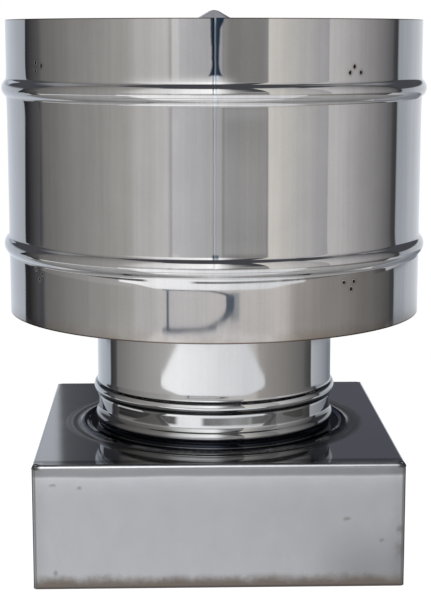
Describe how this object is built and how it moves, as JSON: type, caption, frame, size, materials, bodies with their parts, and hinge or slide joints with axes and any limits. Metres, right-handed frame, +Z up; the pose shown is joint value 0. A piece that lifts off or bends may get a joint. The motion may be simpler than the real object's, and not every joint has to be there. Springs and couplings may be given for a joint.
{
  "type": "square chimney cowl",
  "caption": "Stainless wind-proof chimney cowl: folded square base, round beaded neck, and an open drum holding a double-cone hat on bent strips.",
  "frame": {"origin": "centre of the square base's open underside, on the axis of the neck and drum", "axes": "+Z up along the flue, -Y is the front with the drum's weld seam"},
  "size_m": [0.3636, 0.3636, 0.4619],
  "materials": {
    "base_steel": "bright rolled, dulled on the skirts by handling",
    "neck_steel": "bright annealed",
    "drum_steel": "bright annealed",
    "hat_steel": "bright annealed",
    "strip_steel": "mill finish"
  },
  "bodies": {
    "root": {"base_box": "base_steel", "base_collar": "neck_steel", "neck_tube": "neck_steel", "drum_shell": "drum_steel", "hat_upper_cone": "hat_steel", "hat_lower_cone": "hat_steel", "upper_bracket_1": "strip_steel", "upper_bracket_2": "strip_steel", "upper_bracket_3": "strip_steel", "upper_bracket_4": "strip_steel", "lower_bracket_1": "strip_steel", "lower_bracket_2": "strip_steel", "lower_bracket_3": "strip_steel", "lower_bracket_4": "strip_steel"}
  },
  "joints": []
}
